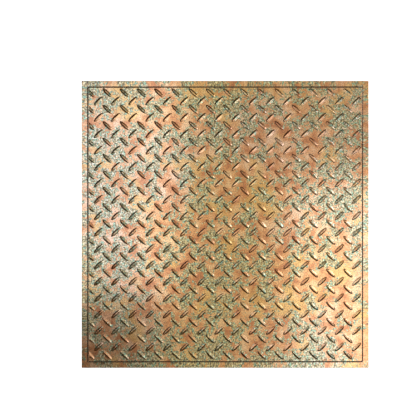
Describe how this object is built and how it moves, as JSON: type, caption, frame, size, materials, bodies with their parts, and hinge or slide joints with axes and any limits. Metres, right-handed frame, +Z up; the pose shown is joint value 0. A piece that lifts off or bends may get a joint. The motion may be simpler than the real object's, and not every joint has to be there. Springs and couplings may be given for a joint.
{
  "type": "vinyl ceiling panel",
  "caption": "Square lay-in ceiling panel of thin formed vinyl, with a flat border, a raised field and a tread-plate pattern of crossed lugs in aged copper print.",
  "frame": {"origin": "centre of the panel's square outline, on the floor that the back of its border lies on", "axes": "+Z is up, out of the printed face; +X runs to the right and +Y to the top of the panel as the picture shows it"},
  "size_m": [0.6032, 0.6032, 0.0068],
  "materials": {
    "printed_vinyl": "satin"
  },
  "bodies": {
    "root": {"ceiling_panel": "printed_vinyl"}
  },
  "joints": []
}
